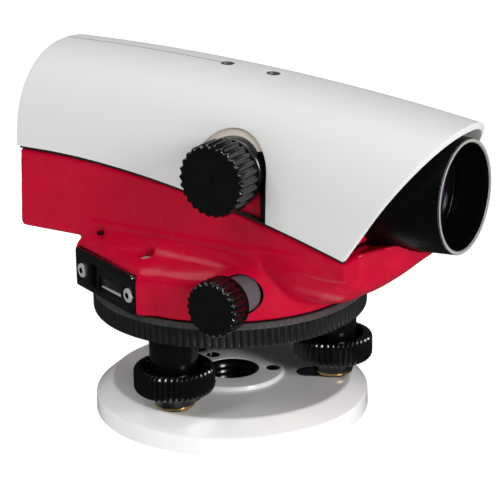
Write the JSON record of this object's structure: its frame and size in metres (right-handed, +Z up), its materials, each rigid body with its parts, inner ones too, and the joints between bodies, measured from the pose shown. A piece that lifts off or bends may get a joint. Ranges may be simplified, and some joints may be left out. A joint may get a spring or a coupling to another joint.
{
  "type": "automatic level",
  "caption": "Automatic surveying level with a white cover over a red body, a focusing knob, tangent-screw knobs, a reading window and three foot screws on a round base plate.",
  "frame": {"origin": "centre of the base plate's underside, on the vertical axis", "axes": "+X along the line of sight towards the objective, +Z up"},
  "size_m": [0.1609, 0.101, 0.1185],
  "materials": {
    "white_enamel": "gloss",
    "cover_white": "satin",
    "red_paint": "satin",
    "black_metal": "black anodised, satin",
    "black_plastic": "satin",
    "grey_plastic": "matt",
    "rubber": "matt",
    "brass": "machined",
    "steel": "machined",
    "aluminium": "machined",
    "glass": "polished",
    "mirror": "polished"
  },
  "bodies": {
    "base": {"base_plate": "white_enamel", "foot_spring_a": "brass", "foot_spring_b": "brass", "foot_spring_c": "brass"},
    "foot_screw_c": {"foot_spindle_c": "steel", "foot_knob_c": "black_plastic"},
    "feet_pair": {"foot_ball_a": "steel", "foot_ball_b": "steel"},
    "foot_screw_a": {"foot_spindle_a": "steel", "foot_knob_a": "black_plastic"},
    "foot_screw_b": {"foot_spindle_b": "steel", "foot_knob_b": "black_plastic"},
    "tribrach": {"tribrach": "black_metal", "foot_bush_a": "brass", "foot_bush_b": "brass", "foot_bush_c": "brass", "axis_sleeve": "brass"},
    "horizontal_circle": {"circle_ring": "black_metal", "graduated_circle": "aluminium"},
    "clutch_wheel": {"worm_wheel": "brass"},
    "alidade": {"main_housing": "red_paint", "top_cover": "cover_white", "cover_gasket_left": "rubber", "cover_gasket_right": "rubber", "cover_screw_rear": "steel", "cover_screw_front": "steel", "vertical_axis": "steel", "drive_bush_left": "grey_plastic", "drive_bush_right": "grey_plastic", "reading_plate": "black_plastic", "reading_glass": "glass", "plate_screw_rear": "steel", "plate_screw_front": "steel", "shoulder_screw": "steel", "objective_tube": "black_metal", "objective_lens": "glass", "focus_bush": "brass", "chassis": "aluminium", "suspension_tapes": "steel", "damping_magnet": "steel", "reticle_cell": "brass", "reticle": "glass", "eyepiece_barrel": "black_metal", "level_housing": "black_plastic", "level_vial": "glass", "level_prism": "black_plastic"},
    "tangent_drive": {"worm_shaft": "steel", "drive_knob_left": "black_plastic", "drive_knob_right": "black_plastic"},
    "focus_knob": {"focus_knob": "black_plastic", "focus_pinion": "steel"},
    "focus_carriage": {"focus_cell": "black_metal", "focus_lens": "glass", "focus_rack": "brass"},
    "diopter_ring": {"diopter_ring": "black_plastic", "eyecup": "rubber"},
    "ocular": {"ocular_cell": "black_metal", "ocular_lens": "glass"},
    "pendulum": {"pendulum": "brass", "pendulum_mirror": "mirror"}
  },
  "joints": [
    {"name": "fore_tilt", "type": "hinge", "parent": "base", "child": "feet_pair", "pos_m": [0, 0.01695, 0.007], "axis": [1, 0, 0], "range_deg": [-1.5, 1.5]},
    {"name": "cross_tilt", "type": "hinge", "parent": "feet_pair", "child": "tribrach", "pos_m": [0, 0.01695, 0.007], "axis": [0, 1, 0], "range_deg": [-1.5, 1.5]},
    {"name": "foot_screw_c_turn", "type": "hinge", "parent": "base", "child": "foot_screw_c", "pos_m": [0, -0.0339, 0.02], "axis": [0, 0, 1], "range_deg": [-480.2, 480.2]},
    {"name": "foot_screw_a_turn", "type": "hinge", "parent": "feet_pair", "child": "foot_screw_a", "pos_m": [0.02936, 0.01695, 0.02], "axis": [0, 0, 1], "range_deg": [-277.2, 277.2]},
    {"name": "foot_screw_b_turn", "type": "hinge", "parent": "feet_pair", "child": "foot_screw_b", "pos_m": [-0.02936, 0.01695, 0.02], "axis": [0, 0, 1], "range_deg": [-277.2, 277.2]},
    {"name": "circle_turn", "type": "hinge", "parent": "tribrach", "child": "horizontal_circle", "pos_m": [0, 0, 0.04], "axis": [0, 0, 1], "continuous": true},
    {"name": "clutch_slip", "type": "hinge", "parent": "tribrach", "child": "clutch_wheel", "pos_m": [0, 0, 0.053], "axis": [0, 0, 1], "continuous": true},
    {"name": "fine_drive", "type": "hinge", "parent": "clutch_wheel", "child": "alidade", "pos_m": [0, 0, 0.053], "axis": [0, 0, 1], "continuous": true},
    {"name": "drive_spin", "type": "hinge", "parent": "alidade", "child": "tangent_drive", "pos_m": [0.0253, 0, 0.053], "axis": [0, 1, 0], "continuous": true},
    {"name": "focus_turn", "type": "hinge", "parent": "alidade", "child": "focus_knob", "pos_m": [0.02, -0.035, 0.0904], "axis": [0, 1, 0], "range_deg": [-183, 183]},
    {"name": "focus_slide", "type": "slide", "parent": "alidade", "child": "focus_carriage", "axis": [1, 0, 0], "range_m": [-0.00798, 0.00798]},
    {"name": "diopter_turn", "type": "hinge", "parent": "alidade", "child": "diopter_ring", "pos_m": [-0.067, 0, 0.0844], "axis": [1, 0, 0], "range_deg": [-150, 150]},
    {"name": "diopter_slide", "type": "slide", "parent": "alidade", "child": "ocular", "axis": [1, 0, 0], "range_m": [-0.0013, 0.0013]},
    {"name": "pendulum_swing", "type": "hinge", "parent": "alidade", "child": "pendulum", "pos_m": [-0.02, 0, 0.101], "axis": [0, 1, 0], "range_deg": [-0.25, 0.25]}
  ],
  "couplings": [
    {"joint": "foot_screw_c_turn", "follows": "fore_tilt", "ratio": 319.5},
    {"joint": "foot_screw_a_turn", "follows": "cross_tilt", "ratio": 184.46},
    {"joint": "foot_screw_b_turn", "follows": "cross_tilt", "ratio": -184.46},
    {"joint": "drive_spin", "follows": "fine_drive", "ratio": 60},
    {"joint": "focus_turn", "follows": "focus_slide", "rad_per_m": -400},
    {"joint": "diopter_turn", "follows": "diopter_slide", "rad_per_m": 2000}
  ]
}
